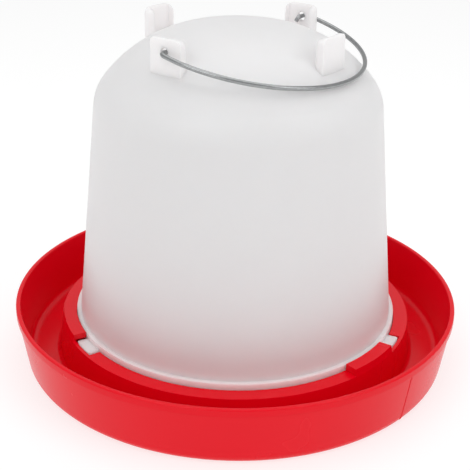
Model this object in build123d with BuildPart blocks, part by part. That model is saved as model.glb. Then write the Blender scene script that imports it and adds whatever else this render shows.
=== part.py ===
from build123d import *
import os
from math import acos, atan, atan2, cos, degrees, hypot, radians, sin, sqrt

# Hanging poultry drinker: a domed tank that stands mouth down in a ring trough, with a
# wire bail across its top. Millimetres, +Z up, origin on the ground at the trough's axis.
# The bail's pivot axis runs along X, and the bail lies towards -Y.

# ---- driving sizes: trough base ----
RIM_R = 182.0           # outside radius of the rim bead
RIM_H = 50.6            # height of the rim above the ground
WALL_SPREAD = 7.5       # how much smaller than the rim the wall's line is at the ground
FOOT_ROUND = 8.0        # outside rounding where the wall turns under to the foot ring
BASE_T = 2.6            # moulded wall of the base
BEAD_H = 5.6            # height of the thickened rim
BEAD_PROUD = 0.9        # how far the bead stands out from the wall
BEAD_T = 3.6            # thickness of the bead
BEAD_ROUND = 1.2        # rounding of the bead's top edges
FLOOR_Z = 6.0           # top of the trough floor
FLOOR_FILLET = 6.5      # inside radius between trough floor and wall
COLLAR_W = 11.4         # width of the flat top of the collar
COLLAR_TOP = 34.5       # height of the collar
COLLAR_SLAB = 6.1       # thickness of the collar's top, which the bayonet is cut into
COLLAR_FLARE = 3.5      # how far the collar's outer wall spreads towards the floor
COLLAR_FILLET = 3.0     # inside radius between collar and trough floor
CENTRE_Z = 20.0         # top of the raised floor inside the collar
HOOK_RISE = 5.5         # how far a bayonet hook stands above the collar
HOOK_ANGLE = 19.2       # sweep of a hook about the axis, in degrees
HOOK_DRAFT = 1.3        # how far the hook's outer face leans in
HOOK_STOP = 2.0         # solid end of a hook that stops the tab, in degrees
PAD_W = 5.0             # width of a rest pad under the tank's rim
PAD_IN = 14.0           # how far a rest pad reaches inwards from the collar
PAD_COUNT = 6
OUTLET_W = 16.0         # width of the water outlet through the collar
OUTLET_H = 5.5          # height of the water outlet
OUTLET_CHEEK = 3.0      # wall on each side of the outlet tunnel

# ---- driving sizes: fount (tank) ----
TANK_T = 3.0            # moulded wall of the tank
RIM_REST_Z = 26.0       # height of the tank's rim on its rest pads
RIM_TANK_R = 131.0      # outside radius of the tank at its rim
TANK_TAPER = 19.1       # how much smaller than the rim the tank is at its shoulder
SHOULDER_Z = 212.1      # height where the wall turns into the dome
SHOULDER_ROUND = 36.0   # outside radius of curvature of the shoulder
SHOULDER_SWEEP = 32.7   # angle that the shoulder turns through
DOME_ROUND = 111.8      # outside radius of curvature of the dome's flank
DOME_SWEEP = 48.6       # angle that the flank turns through, before the flat crown
FLANGE_PROUD = 2.0      # how far the stiffening flange stands out beyond the rim
FLANGE_Z = 31.0         # underside of the flange
FLANGE_TOP_Z = 39.3     # top of the flange
TAB_T = 3.5             # thickness of a bayonet tab
TAB_ANGLE = 8.8         # sweep of a tab about the axis, in degrees
TAB_REACH = 8.7         # how far a tab stands out of the flange
TAB_ROUND = 2.5         # rounding of a tab's outer corners
TAB_COUNT = 3
TAB_TURN = 40.6         # direction of the first tab from +X, in degrees
LUG_COUNT = 4
LUG_SETBACK = 26.4      # from the shoulder's outside in to a lug's curved plate
LUG_W = 28.0            # width of a lug
LUG_DEPTH = 10.5        # depth of a lug's side walls, plate included
LUG_T = 3.0             # thickness of a lug's plate
LUG_SIDE_T = 2.8        # thickness of a lug's side walls
HOLE_HEAD = 10.0        # from the bail holes up to the top of the lugs
LUG_ROUND = 5.0         # rounding of a lug's top corners
LUG_BACK_ROUND = 6.0    # rounding of the side walls' inner top corners
HOLE_RISE = 16.110      # height of the bail holes above the dome under the plate
HOLE_D = 7.0            # bore of the bail holes
HOLE_OVERRUN = 1.5      # how far the cutter passes each face of a lug's plate

# ---- driving sizes: bail ----
WIRE_D = 3.4
BAIL_SIDE_GAP = 2.8     # space between a lug's face and the bail's arm
BAIL_ARM = 8.0          # straight part of an arm beyond the pivot
BAIL_BEND_R = 4.5       # centreline radius of the corner at the pivot
BAIL_LAY = 1.22         # space between the dome and the bow of the resting bail
TIP_BEND_R = 4.0        # centreline radius of the bent tip
TIP_BEND = 55.0         # angle of the bent tip, in degrees
TIP_STRAIGHT = 2.0      # straight end of the tip
TIP_GAP = 2.0           # space between the lug's plate and the bent tip

# ---- clearances ----
RING_GAP = 0.6          # tank flange inside the collar, radial
TAB_GAP = 0.6           # tab in its slot, radial
TAB_LIFT = 0.5          # tab above the slot floor, and hook above the tab
TAB_SIDE_GAP = 0.5      # tab beside the hook, in degrees
NOTCH_SLACK = 1.0       # tab beside the far end of its notch, in degrees

# ---- worked-out places ----
FOOT_R = RIM_R - WALL_SPREAD
SHOULDER_R = RIM_TANK_R - TANK_TAPER
FLANGE_R = RIM_TANK_R + FLANGE_PROUD
LUG_R = SHOULDER_R - LUG_SETBACK
BORE_R = FLANGE_R + RING_GAP
COLLAR_R = BORE_R + COLLAR_W
COLLAR_FOOT_R = COLLAR_R + COLLAR_FLARE
SLAB_Z = COLLAR_TOP - COLLAR_SLAB
WALL_TOP_R = RIM_R - BEAD_PROUD
BEAD_Z = RIM_H - BEAD_H
TAB_R = FLANGE_R + TAB_REACH
SLOT_R = TAB_R + TAB_GAP
TAB_TOP_Z = COLLAR_TOP + TAB_LIFT
TAB_Z = TAB_TOP_Z - TAB_T
SLOT_Z = TAB_Z - TAB_LIFT
HOOK_SLOT_TOP = TAB_TOP_Z + TAB_LIFT
HOOK_TOP = COLLAR_TOP + HOOK_RISE
TAB_STEP = 360 / TAB_COUNT
HOOK_END = -TAB_ANGLE / 2 - TAB_SIDE_GAP
HOOK_START = HOOK_END - HOOK_ANGLE
SLOT_START = HOOK_START + HOOK_STOP
SLOT_END = TAB_ANGLE / 2 + NOTCH_SLACK
WALL_LEAN = (RIM_TANK_R - SHOULDER_R) / (SHOULDER_Z - RIM_REST_Z)
LEAN_ANGLE = atan(WALL_LEAN)
OUTLET_TURN = TAB_TURN + TAB_STEP / 4
BAIL_ARM_X = LUG_R + BAIL_SIDE_GAP + WIRE_D / 2
BAIL_REACH = BAIL_ARM + BAIL_ARM_X

# Centre of the circle that the dome's flank follows, and what stands on the flank.
flank_start = LEAN_ANGLE + radians(SHOULDER_SWEEP)
flank_step = DOME_ROUND - SHOULDER_ROUND
flank_r = SHOULDER_R - SHOULDER_ROUND * cos(LEAN_ANGLE) - flank_step * cos(flank_start)
flank_z = SHOULDER_Z - SHOULDER_ROUND * sin(LEAN_ANGLE) - flank_step * sin(flank_start)
HOLE_Z = flank_z + sqrt(DOME_ROUND**2 - (LUG_R - flank_r) ** 2) + HOLE_RISE
LUG_TOP_Z = HOLE_Z + HOLE_HEAD

# The resting bail: its bow stops BAIL_LAY above the flank, so its angle comes from the
# triangle of pivot, flank centre and bow.
bow_r = DOME_ROUND + BAIL_LAY + WIRE_D / 2
pivot_r = hypot(flank_r, HOLE_Z - flank_z)
bow_turn = acos((BAIL_REACH**2 + pivot_r**2 - bow_r**2) / (2 * BAIL_REACH * pivot_r))
BAIL_REST = degrees(atan2(HOLE_Z - flank_z, flank_r) - bow_turn)
EPS = 0.01              # overlap that lets neighbouring shapes fuse
MID_ARC = radians(45)   # halfway round a quarter turn

os.makedirs("parts", exist_ok=True)


def wall_radius(z):
    """Outside radius of the tank's tapered wall at height z."""
    return RIM_TANK_R - WALL_LEAN * (z - RIM_REST_Z)


def collar_radius(z):
    """Outside radius of the collar's flared outer wall at height z."""
    return COLLAR_R + COLLAR_FLARE * (COLLAR_TOP - z) / (COLLAR_TOP - FLOOR_Z)


def trough_radius(z):
    """Outside radius of the trough's sloping outer wall at height z."""
    return FOOT_R + (WALL_TOP_R - FOOT_R) * z / BEAD_Z


def tank_half(inset, foot_z):
    """Half section of the tank, drawn in from its outside and standing on height foot_z."""
    with BuildSketch(Plane.XZ) as half:
        with BuildLine():
            foot = (wall_radius(foot_z) - inset / cos(LEAN_ANGLE), foot_z)
            top_r = SHOULDER_R - inset * cos(LEAN_ANGLE)
            wall = Line(foot, (top_r, SHOULDER_Z - inset * sin(LEAN_ANGLE)))
            shoulder = JernArc(wall @ 1, wall % 1, SHOULDER_ROUND - inset, SHOULDER_SWEEP)
            flank = JernArc(shoulder @ 1, shoulder % 1, DOME_ROUND - inset, DOME_SWEEP)
            end, slope = flank @ 1, flank % 1
            crown_radius = end.X / slope.Y
            crown = TangentArc(end, (0, end.Y + crown_radius * (1 + slope.X)), tangent=slope)
            Polyline(crown @ 1, (0, foot_z), foot)
        make_face()
    return half.sketch


def sector(radius, start, end):
    """A pie slice about the origin, from angle start to angle end in degrees."""
    with BuildSketch() as slice_:
        with BuildLine():
            first = Line((0, 0), (radius * cos(radians(start)), radius * sin(radians(start))))
            arc = CenterArc((0, 0), radius, start, end - start)
            Line(arc @ 1, first @ 0)
        make_face()
    return slice_.sketch


def ring_sector(inner, outer, start, end):
    """Part of a ring between two radii and two angles in degrees."""
    return sector(outer, start, end) - Circle(inner, mode=Mode.PRIVATE)


# ---- trough base: one moulding with trough, collar, bayonet hooks and raised floor ----
with BuildPart() as trough_base:
    under_z = FLOOR_Z - BASE_T
    foot_in = FOOT_R - FOOT_ROUND - BASE_T
    with BuildSketch(Plane.XZ) as base_section:
        with BuildLine():
            Polyline(
                (0, CENTRE_Z - BASE_T),
                (BORE_R + BASE_T, CENTRE_Z - BASE_T),
                (BORE_R + BASE_T, SLAB_Z),
                (collar_radius(SLAB_Z) - BASE_T, SLAB_Z),
                (collar_radius(under_z) - BASE_T, under_z),
                (foot_in, under_z),
                (foot_in, 0),
                (FOOT_R, 0),
                (WALL_TOP_R, BEAD_Z),
                (RIM_R, BEAD_Z),
                (RIM_R, RIM_H),
                (RIM_R - BEAD_T, RIM_H),
                (trough_radius(FLOOR_Z) - BASE_T, FLOOR_Z),
                (COLLAR_FOOT_R, FLOOR_Z),
                (COLLAR_R, COLLAR_TOP),
                (BORE_R, COLLAR_TOP),
                (BORE_R, CENTRE_Z),
                (0, CENTRE_Z),
                close=True,
            )
        make_face()
        inner_wall_foot = (trough_radius(FLOOR_Z) - BASE_T, FLOOR_Z)
        collar_foot = (COLLAR_FOOT_R, FLOOR_Z)
        outer_foot = (FOOT_R, 0)
        fillet(base_section.vertices().sort_by_distance(inner_wall_foot)[0], FLOOR_FILLET)
        fillet(base_section.vertices().sort_by_distance(collar_foot)[0], COLLAR_FILLET)
        fillet(base_section.vertices().sort_by_distance(outer_foot)[0], FOOT_ROUND)
    revolve(axis=Axis.Z)
    rim_edges = trough_base.edges().filter_by(GeomType.CIRCLE).group_by(Axis.Z)[-1]
    fillet(rim_edges, BEAD_ROUND)

    # Bayonet hooks: raised bridges on the collar, one beside each tab's notch.
    with BuildSketch(Plane.XY.offset(COLLAR_TOP - EPS)):
        for n in range(TAB_COUNT):
            turn = TAB_TURN + n * TAB_STEP
            add(ring_sector(BORE_R, COLLAR_R, turn + HOOK_START, turn + HOOK_END))
    extrude(amount=HOOK_RISE + EPS)
    with BuildSketch(Plane.XZ) as lean:
        with BuildLine():
            Polyline(
                (COLLAR_R, COLLAR_TOP),
                (COLLAR_R + HOOK_DRAFT, COLLAR_TOP),
                (COLLAR_R + HOOK_DRAFT, HOOK_TOP + HOOK_DRAFT),
                (COLLAR_R - HOOK_DRAFT, HOOK_TOP + HOOK_DRAFT),
                (COLLAR_R - HOOK_DRAFT, HOOK_TOP),
                close=True,
            )
        make_face()
    revolve(axis=Axis.Z, mode=Mode.SUBTRACT)

    # Slot under each hook and the open notch beside it, where a tab drops in and turns.
    with BuildSketch(Plane.XY.offset(SLOT_Z)):
        for n in range(TAB_COUNT):
            turn = TAB_TURN + n * TAB_STEP
            add(ring_sector(BORE_R - EPS, SLOT_R, turn + SLOT_START, turn + SLOT_END))
    extrude(amount=HOOK_SLOT_TOP - SLOT_Z, mode=Mode.SUBTRACT)

    # Rest pads that hold the tank's rim above the raised floor so that water can pass.
    with BuildSketch(Plane.XY.offset(CENTRE_Z - EPS)):
        with PolarLocations(BORE_R + EPS - PAD_IN / 2, PAD_COUNT):
            Rectangle(PAD_IN, PAD_W)
    extrude(amount=RIM_REST_Z - CENTRE_Z + EPS)

    # Water outlet: a boxed tunnel through the hollow collar into the trough.
    tunnel_length = collar_radius(CENTRE_Z) - BORE_R
    with BuildSketch(Plane.XY.offset(CENTRE_Z - BASE_T)):
        with Locations(Rot(0, 0, OUTLET_TURN) * Pos(BORE_R + tunnel_length / 2, 0)):
            Rectangle(tunnel_length - BASE_T / 2, OUTLET_W + 2 * OUTLET_CHEEK)
    extrude(until=Until.NEXT)
    with BuildSketch(Plane.XY.offset(CENTRE_Z)):
        with Locations(Rot(0, 0, OUTLET_TURN) * Pos(BORE_R + tunnel_length / 2, 0)):
            Rectangle(tunnel_length + BASE_T, OUTLET_W)
    extrude(amount=OUTLET_H, mode=Mode.SUBTRACT)
trough_base.part.label = "trough_base"
export_step(trough_base.part, "parts/trough_base.step")

# ---- fount: one moulding with tank, flange, bayonet tabs and four channel-shaped lugs ----
with BuildPart() as fount:
    revolve(tank_half(0, RIM_REST_Z), axis=Axis.Z)

    # Stiffening flange just above the rim.
    with BuildSketch(Plane.XZ):
        with BuildLine():
            Polyline(
                (wall_radius(FLANGE_Z) - TANK_T / 2, FLANGE_Z),
                (FLANGE_R, FLANGE_Z),
                (FLANGE_R, FLANGE_TOP_Z),
                (wall_radius(FLANGE_TOP_Z) - TANK_T / 2, FLANGE_TOP_Z),
                close=True,
            )
        make_face()
    revolve(axis=Axis.Z)

    # Bayonet tabs on the flange.
    with BuildSketch(Plane.XY.offset(TAB_Z)) as tab_plan:
        for n in range(TAB_COUNT):
            turn = TAB_TURN + n * TAB_STEP
            edge = TAB_ANGLE / 2
            add(ring_sector(FLANGE_R - TANK_T, TAB_R, turn - edge, turn + edge))
        by_reach = tab_plan.vertices().sort_by(lambda v: v.X**2 + v.Y**2)
        fillet(by_reach[-2 * TAB_COUNT:], TAB_ROUND)
    extrude(amount=TAB_T)

    # Four channel-shaped lugs, open towards the axis, that the tank stands on for filling.
    with BuildPart(mode=Mode.PRIVATE) as lug:
        with BuildSketch(Plane.XY.offset(SHOULDER_Z + LUG_DEPTH)):
            Circle(LUG_R)
            with Locations((LUG_R - LUG_DEPTH / 2, 0)):
                Rectangle(LUG_DEPTH, LUG_W, mode=Mode.INTERSECT)
        extrude(amount=LUG_TOP_Z - SHOULDER_Z - LUG_DEPTH)
        top_edges = lug.faces().sort_by(Axis.Z)[-1].edges()
        fillet(top_edges.filter_by(Axis.X), LUG_ROUND)
        back_edge = lug.faces().sort_by(Axis.X)[0].edges().filter_by(Axis.Y).sort_by(Axis.Z)[-1]
        fillet(back_edge, LUG_BACK_ROUND)
        with BuildSketch(Plane.XY.offset(LUG_TOP_Z)):
            Circle(LUG_R - LUG_T)
            with Locations((LUG_R - LUG_DEPTH, 0)):
                Rectangle(2 * LUG_DEPTH, LUG_W - 2 * LUG_SIDE_T, mode=Mode.INTERSECT)
        extrude(amount=SHOULDER_Z - LUG_TOP_Z, mode=Mode.SUBTRACT)
    with PolarLocations(0, LUG_COUNT):
        add(lug.part)

    # The hollow of the tank, open at the rim.
    revolve(tank_half(TANK_T, RIM_REST_Z - TANK_T), axis=Axis.Z, mode=Mode.SUBTRACT)

    # Bail holes through the plates of the two lugs on the X axis.
    for side in (1, -1):
        inside = (side * (LUG_R - LUG_T - HOLE_OVERRUN), 0, HOLE_Z)
        with BuildSketch(Plane(inside, z_dir=(side, 0, 0))):
            Circle(HOLE_D / 2)
        extrude(amount=LUG_T + 2 * HOLE_OVERRUN, mode=Mode.SUBTRACT)
fount.part.label = "fount"
export_step(fount.part, "parts/fount.step")

# ---- bail handle: one length of steel wire with a corner and a bent tip at each end ----
tip_x = LUG_R - LUG_T - TIP_GAP
tip_turn = radians(TIP_BEND)
bend_x = tip_x - TIP_BEND_R * sin(tip_turn)
bend_z = -TIP_BEND_R * (1 - cos(tip_turn))
half_x = tip_x - TIP_BEND_R * sin(tip_turn / 2)
half_z = -TIP_BEND_R * (1 - cos(tip_turn / 2))
corner_x = BAIL_ARM_X - BAIL_BEND_R * (1 - cos(MID_ARC))
corner_y = -BAIL_BEND_R * (1 - sin(MID_ARC))

with BuildPart() as bail_handle:
    with BuildLine() as bail_path:
        Line(
            (bend_x - TIP_STRAIGHT * cos(tip_turn), 0, bend_z - TIP_STRAIGHT * sin(tip_turn)),
            (bend_x, 0, bend_z),
        )
        ThreePointArc((bend_x, 0, bend_z), (half_x, 0, half_z), (tip_x, 0, 0))
        Line((tip_x, 0, 0), (BAIL_ARM_X - BAIL_BEND_R, 0, 0))
        ThreePointArc(
            (BAIL_ARM_X - BAIL_BEND_R, 0, 0),
            (corner_x, corner_y, 0),
            (BAIL_ARM_X, -BAIL_BEND_R, 0),
        )
        Line((BAIL_ARM_X, -BAIL_BEND_R, 0), (BAIL_ARM_X, -BAIL_ARM, 0))
        ThreePointArc(
            (BAIL_ARM_X, -BAIL_ARM, 0),
            (BAIL_ARM_X * cos(MID_ARC), -BAIL_ARM - BAIL_ARM_X * sin(MID_ARC), 0),
            (0, -BAIL_REACH, 0),
        )
    with BuildSketch(Plane(bail_path.line @ 1, z_dir=bail_path.line % 1)):
        Circle(WIRE_D / 2)
    sweep(path=bail_path.line)
    mirror(about=Plane.YZ)
bail_rest = Pos(0, 0, HOLE_Z) * Rot(BAIL_REST, 0, 0) * bail_handle.part
bail_rest.label = "bail_handle"
export_step(bail_rest, "parts/bail_handle.step")
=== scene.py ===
import bpy
import numpy as np
from mathutils import Matrix


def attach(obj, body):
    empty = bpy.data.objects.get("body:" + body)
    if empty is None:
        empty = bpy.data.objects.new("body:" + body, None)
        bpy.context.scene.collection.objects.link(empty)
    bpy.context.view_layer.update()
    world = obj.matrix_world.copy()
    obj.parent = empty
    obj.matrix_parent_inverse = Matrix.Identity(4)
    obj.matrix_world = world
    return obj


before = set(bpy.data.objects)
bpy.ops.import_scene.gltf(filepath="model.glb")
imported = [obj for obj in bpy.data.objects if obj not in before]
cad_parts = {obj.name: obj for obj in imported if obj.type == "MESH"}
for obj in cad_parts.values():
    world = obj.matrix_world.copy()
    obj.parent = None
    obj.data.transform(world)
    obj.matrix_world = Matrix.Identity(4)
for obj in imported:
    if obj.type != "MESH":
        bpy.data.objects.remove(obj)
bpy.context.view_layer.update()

# ---- trough base ----
# One injection moulding in red polypropylene: a ring trough with a thick bead round its
# rim, a collar that holds the tank, and three bayonet hooks on the collar.
# The mould leaves it glossy, with a fine orange peel and faint rubs from use.
RED_PIGMENT = "#EA021C"
RED_DEEP = "#E4021A"
RED_SHINY, RED_RUBBED = 0.18, 0.32      # roughness as moulded, and where it is rubbed
RED_SPECULAR = 0.22     # holds the reflection below what the IOR alone would give
PEEL_MM = 1.4           # one dimple of the moulded orange peel
PEEL_STRENGTH, PEEL_DEEP = 0.02, 0.00004
RUB_MM = 46.0           # one patch of wear
POLYPROPYLENE_IOR = 1.49


def linear(hex_colour):
    """sRGB hex to linear RGBA: each channel goes through the sRGB decoding curve."""
    raw = np.array([int(hex_colour[i:i + 2], 16) for i in (1, 3, 5)]) / 255
    low, high = raw / 12.92, ((raw + 0.055) / 1.055) ** 2.4
    return (*np.where(raw <= 0.04045, low, high), 1.0)


def new_material(name):
    """An empty material with its shader and output; returns the material and the shader."""
    material = bpy.data.materials.new(name)
    material.use_nodes = True
    return material, material.node_tree.nodes["Principled BSDF"]


def node(material, kind, links=(), **settings):
    """Adds one node. Settings name its attributes or, with a leading s_, its sockets.
    Links are (source node, source socket, own socket) triples."""
    made = material.node_tree.nodes.new(kind)
    for key, value in settings.items():
        if key.startswith("s_"):
            made.inputs[key[2:].replace("_", " ")].default_value = value
        else:
            setattr(made, key, value)
    for source, out, own in links:
        material.node_tree.links.new(source.outputs[out], made.inputs[own])
    return made


def noise(material, place, size_mm, detail, roughness=0.5):
    """Noise on Object coordinates in metres, with one feature per size_mm."""
    return node(material, "ShaderNodeTexNoise", [(place, "Object", "Vector")],
                s_Scale=1000 / size_mm, s_Detail=detail, s_Roughness=roughness)


def two_tone(material, pattern, dark, light):
    """A colour that goes from dark to light, both sRGB hex, with a pattern's value."""
    mix = node(material, "ShaderNodeMix", [(pattern, "Fac", "Factor")], data_type="RGBA")
    mix.inputs[6].default_value, mix.inputs[7].default_value = linear(dark), linear(light)
    return mix


def spread(material, pattern, low, high):
    """A value that goes from low to high with a pattern's value."""
    made = node(material, "ShaderNodeMapRange", [(pattern, "Fac", "Value")])
    made.inputs["To Min"].default_value, made.inputs["To Max"].default_value = low, high
    return made


# Injection-moulded polypropylene, pigmented red: a saturated body under a clear gloss.
red_plastic, shader = new_material("moulded_red_polypropylene")
tree = red_plastic.node_tree
place = node(red_plastic, "ShaderNodeTexCoord")
rub = noise(red_plastic, place, RUB_MM, detail=2.0, roughness=0.4)
tone = two_tone(red_plastic, rub, RED_DEEP, RED_PIGMENT)
gloss = spread(red_plastic, rub, RED_SHINY, RED_RUBBED)
peel = noise(red_plastic, place, PEEL_MM, detail=2.0)
dimples = node(red_plastic, "ShaderNodeBump", [(peel, "Fac", "Height")],
               s_Strength=PEEL_STRENGTH, s_Distance=PEEL_DEEP)
tree.links.new(tone.outputs[2], shader.inputs["Base Color"])
tree.links.new(gloss.outputs["Result"], shader.inputs["Roughness"])
tree.links.new(dimples.outputs["Normal"], shader.inputs["Normal"])
shader.inputs["IOR"].default_value = POLYPROPYLENE_IOR
shader.inputs["Specular IOR Level"].default_value = RED_SPECULAR

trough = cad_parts["trough_base"]
trough.data.materials.clear()
trough.data.materials.append(red_plastic)

# ---- witness line on the outer wall ----
# Where the two halves of the outer mould meet, the same red polypropylene squeezes into
# the gap and leaves one fine raised seam from the foot to the bead.
SEAM_TURN = np.radians(-96.7)
SEAM_WIDE, SEAM_PROUD = 0.0009, 0.00035
SEAM_LOW, SEAM_HIGH = 0.0012, 0.0448
SEAM_FADE, SEAM_TIP = 0.002, 0.02       # length of each tapering end, and its smallest share
WALL_FOOT_R, WALL_TOP_R, BEAD_Z = 0.1745, 0.1811, 0.045
FOOT_RING_R, FOOT_ROUND, ROUND_TOP = 0.16759, 0.008, 0.00684


def wall_line(z):
    """Outside radius of the wall: a straight flare, and below it the arc of the foot."""
    arc = FOOT_RING_R + np.sqrt(FOOT_ROUND ** 2 - (FOOT_ROUND - np.minimum(z, FOOT_ROUND)) ** 2)
    line = WALL_FOOT_R + (WALL_TOP_R - WALL_FOOT_R) * z / BEAD_Z
    return np.where(z < ROUND_TOP, arc, line)


def seam_surface(rows=60, around=16):
    """Over height z and an angle u round the seam: an ellipse half as wide as the seam and
    as tall as it stands proud, centred on the wall's line and fading out at both ends."""
    z, u = np.meshgrid(np.linspace(SEAM_LOW, SEAM_HIGH, rows),
                       np.linspace(0, 2 * np.pi, around, endpoint=False), indexing="ij")
    from_end = np.minimum(z - SEAM_LOW, SEAM_HIGH - z)
    fade = SEAM_TIP + (1 - SEAM_TIP) * np.clip(from_end / SEAM_FADE, 0, 1)
    r = wall_line(z) + SEAM_PROUD * fade * np.sin(u)
    a = SEAM_TURN + SEAM_WIDE / 2 * fade * np.cos(u) / r
    return np.stack((r * np.cos(a), r * np.sin(a), z), -1)


def tube_object(name, points, material):
    """Quads between neighbouring rings of points, wrapped round, with a lid on each end."""
    n, m = points.shape[:2]
    i = np.arange(n * m).reshape(n, m)
    on = np.roll(i, -1, axis=1)
    quads = np.stack((i[:-1], i[1:], on[1:], on[:-1]), -1).reshape(-1, 4)
    faces = quads.tolist() + [i[0].tolist(), i[-1][::-1].tolist()]
    mesh = bpy.data.meshes.new(name)
    mesh.from_pydata(points.reshape(-1, 3).tolist(), [], faces)
    mesh.polygons.foreach_set("use_smooth", np.ones(len(faces), bool))
    mesh.materials.append(material)
    made = bpy.data.objects.new(name, mesh)
    bpy.context.scene.collection.objects.link(made)
    return made


seam = tube_object("moulding_seam", seam_surface(), red_plastic)
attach(seam, "base")

# ---- fount ----
# The tank, moulded in natural polypropylene, which is milky and lets light through its
# 3 mm wall. Lugs, flange and tabs are part of the same moulding.
MILK = "#F4F1F1"
MILK_SHADE = "#F0ECED"
MILK_ROUGHNESS = 0.42
SCATTER_MM = 7.0        # how far light travels in the wall
CLOUD_MM = 60.0         # faint clouds where the melt flowed
GRAIN_MM = 1.6          # satin grain of the mould
GRAIN_STRENGTH, GRAIN_DEEP = 0.10, 0.00015
SCATTER_RATIO = (1.0, 0.96, 0.94)       # red light travels a little further than blue

milk, shader = new_material("moulded_natural_polypropylene")
tree = milk.node_tree
place = node(milk, "ShaderNodeTexCoord")
cloud = noise(milk, place, CLOUD_MM, detail=4.0)
tone = two_tone(milk, cloud, MILK_SHADE, MILK)
grain = noise(milk, place, GRAIN_MM, detail=2.0)
satin = node(milk, "ShaderNodeBump", [(grain, "Fac", "Height")],
             s_Strength=GRAIN_STRENGTH, s_Distance=GRAIN_DEEP)
tree.links.new(tone.outputs[2], shader.inputs["Base Color"])
tree.links.new(satin.outputs["Normal"], shader.inputs["Normal"])
shader.inputs["Roughness"].default_value = MILK_ROUGHNESS
shader.inputs["IOR"].default_value = POLYPROPYLENE_IOR
shader.inputs["Subsurface Weight"].default_value = 1.0
shader.inputs["Subsurface Radius"].default_value = SCATTER_RATIO
shader.inputs["Subsurface Scale"].default_value = SCATTER_MM / 1000

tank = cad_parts["fount"]
tank.data.materials.clear()
tank.data.materials.append(milk)

# ---- bail handle ----
# One length of drawn steel wire, zinc plated, bent cold. The plating is a mottled grey
# metal, a little smoother where it is dark than where it is pale.
ZINC = "#B4B6B6"
ZINC_DARK = "#86888A"
SPANGLE_MM = 3.0
ZINC_SMOOTH, ZINC_DULL = 0.14, 0.30     # roughness of the dark and of the pale tone

zinc, shader = new_material("zinc_plated_drawn_steel")
tree = zinc.node_tree
place = node(zinc, "ShaderNodeTexCoord")
spangle = noise(zinc, place, SPANGLE_MM, detail=5.0, roughness=0.65)
tone = two_tone(zinc, spangle, ZINC_DARK, ZINC)
dull = spread(zinc, spangle, ZINC_SMOOTH, ZINC_DULL)
tree.links.new(tone.outputs[2], shader.inputs["Base Color"])
tree.links.new(dull.outputs["Result"], shader.inputs["Roughness"])
shader.inputs["Metallic"].default_value = 1.0

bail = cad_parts["bail_handle"]
bail.data.materials.clear()
bail.data.materials.append(zinc)

# ---- floor, light and camera ----
# A white sweep under a broad soft light, as in a plain product studio.
FLOOR_HALF = 6.0
WORLD_STRENGTH = 0.62
FLOOR_WHITE = "#A0A0A0"
FLOOR_GLOW = 0.70       # stands in for light behind the sweep, which keeps it white
LIGHT_AIM = (0, 0, 0.13)

corner = np.array([(-1, -1, 0), (1, -1, 0), (1, 1, 0), (-1, 1, 0)]) * FLOOR_HALF
floor_mesh = bpy.data.meshes.new("studio_floor")
floor_mesh.from_pydata(corner.tolist(), [], [(0, 1, 2, 3)])
floor = bpy.data.objects.new("studio_floor", floor_mesh)
bpy.context.scene.collection.objects.link(floor)
paper, shader = new_material("matt_white_paper")
shader.inputs["Base Color"].default_value = linear(FLOOR_WHITE)
shader.inputs["Roughness"].default_value = 1.0
shader.inputs["Specular IOR Level"].default_value = 0.0
shader.inputs["Emission Color"].default_value = (1, 1, 1, 1)
shader.inputs["Emission Strength"].default_value = FLOOR_GLOW
floor_mesh.materials.append(paper)

world = bpy.data.worlds.new("white_studio")
bpy.context.scene.world = world
world.use_nodes = True
world.node_tree.nodes["Background"].inputs["Color"].default_value = (1, 1, 1, 1)
world.node_tree.nodes["Background"].inputs["Strength"].default_value = WORLD_STRENGTH


def turned(forward, roll):
    """A camera's or light's axes as columns, right, up and back, from its direction and roll."""
    forward = np.array(forward) / np.linalg.norm(forward)
    right = np.cross(forward, (0, 0, 1))
    right /= np.linalg.norm(right)
    up = np.cross(right, forward)
    return np.column_stack((np.cos(roll) * right + np.sin(roll) * up,
                            np.cos(roll) * up - np.sin(roll) * right, -forward))


def placed(axes, spot):
    """The 4x4 matrix of an object with those axes at that spot."""
    full = np.eye(4)
    full[:3, :3], full[:3, 3] = axes, spot
    return Matrix(full.tolist())


for name, spot, size, power in (("top_softbox", (0.1, 0.1, 1.6), 1.5, 7.0),
                                ("left_softbox", (-1.7, -0.1, 1.3), 1.1, 6.0),
                                ("right_softbox", (0.1, -1.7, 1.3), 1.1, 6.0)):
    light = bpy.data.lights.new(name, "AREA")
    light.size, light.energy = size, power
    lamp = bpy.data.objects.new(name, light)
    bpy.context.scene.collection.objects.link(lamp)
    lamp.matrix_world = placed(turned(np.array(LIGHT_AIM) - np.array(spot), 0.0), spot)

CAMERA_SPOT = (-0.5672, -0.4337, 0.4211)
CAMERA_HEADING = np.radians(52.509)
CAMERA_DIP = np.radians(24.349)
CAMERA_ROLL = np.radians(0.917)
CAMERA_LENS, CAMERA_SENSOR = 72.61, 36.0
ahead = (np.cos(CAMERA_DIP) * np.sin(CAMERA_HEADING), np.cos(CAMERA_DIP) * np.cos(CAMERA_HEADING),
         -np.sin(CAMERA_DIP))
camera = bpy.data.objects.new("camera", bpy.data.cameras.new("camera"))
camera.data.lens, camera.data.sensor_width = CAMERA_LENS, CAMERA_SENSOR
bpy.context.scene.collection.objects.link(camera)
camera.matrix_world = placed(turned(ahead, CAMERA_ROLL), CAMERA_SPOT)
bpy.context.scene.camera = camera
bpy.context.scene.view_settings.view_transform = "Standard"
